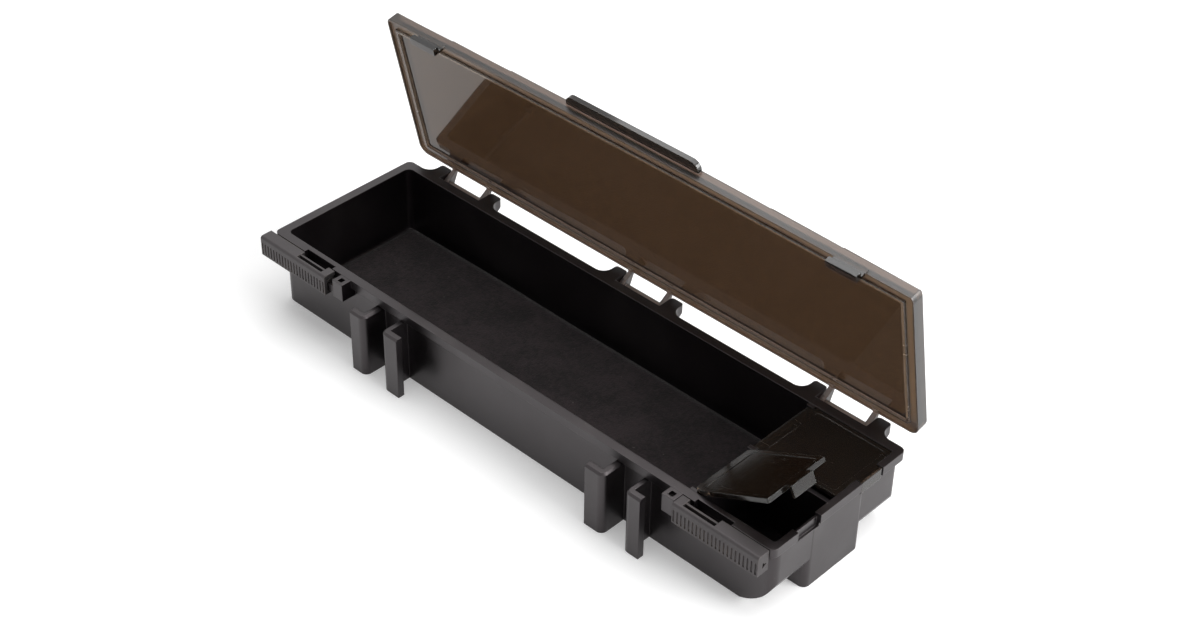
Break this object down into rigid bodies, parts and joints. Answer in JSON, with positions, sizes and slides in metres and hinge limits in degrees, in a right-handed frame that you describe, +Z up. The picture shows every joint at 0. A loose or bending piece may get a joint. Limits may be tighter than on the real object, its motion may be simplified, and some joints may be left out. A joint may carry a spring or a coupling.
{
  "type": "fishing needle box",
  "caption": "Long shallow moulded needle box with a hinged clear lid, sliding catches, front hooks, a foam-lined bay and small lidded end compartments.",
  "frame": {"origin": "on the underside of the tray, below the middle of the rim", "axes": "+X along the length of the box towards the small compartments, +Y to the hinge side, +Z up"},
  "size_m": [0.2515, 0.0904, 0.1064],
  "materials": {
    "tray": "satin",
    "lid": "gloss",
    "latch": "matt",
    "small_lid": "gloss",
    "foam": "matt"
  },
  "bodies": {
    "tray": {"base_tray": "tray"},
    "main_lid": {"main_lid": "lid"},
    "left_latch": {"left_latch": "latch"},
    "right_latch": {"right_latch": "latch"},
    "front_small_lid": {"front_small_lid": "small_lid"},
    "rear_small_lid": {"rear_small_lid": "small_lid"},
    "foam": {"foam_mat": "foam"}
  },
  "joints": [
    {"name": "main_lid_hinge", "type": "hinge", "parent": "tray", "child": "main_lid", "pos_m": [0, 0.03896, 0.02803], "axis": [-1, 0, 0], "range_deg": [-77.5, 102.5]},
    {"name": "front_small_lid_hinge", "type": "hinge", "parent": "tray", "child": "front_small_lid", "pos_m": [0.087, -0.01665, 0.0296], "axis": [0, -1, 0], "range_deg": [-27.3, 72.7]},
    {"name": "rear_small_lid_hinge", "type": "hinge", "parent": "tray", "child": "rear_small_lid", "pos_m": [0.087, 0.01545, 0.0296], "axis": [0, -1, 0], "range_deg": [0, 100]},
    {"name": "left_latch_slide", "type": "slide", "parent": "tray", "child": "left_latch", "axis": [1, 0, 0], "range_m": [0, 0.0032]},
    {"name": "right_latch_slide", "type": "slide", "parent": "tray", "child": "right_latch", "axis": [1, 0, 0], "range_m": [0, 0.0032]},
    {"name": "foam_lift", "type": "slide", "parent": "tray", "child": "foam", "axis": [0, 0, 1], "range_m": [0, 0.012]}
  ],
  "couplings": [
    {"joint": "front_small_lid_hinge", "follows": "main_lid_hinge", "ratio": 0.35226}
  ]
}
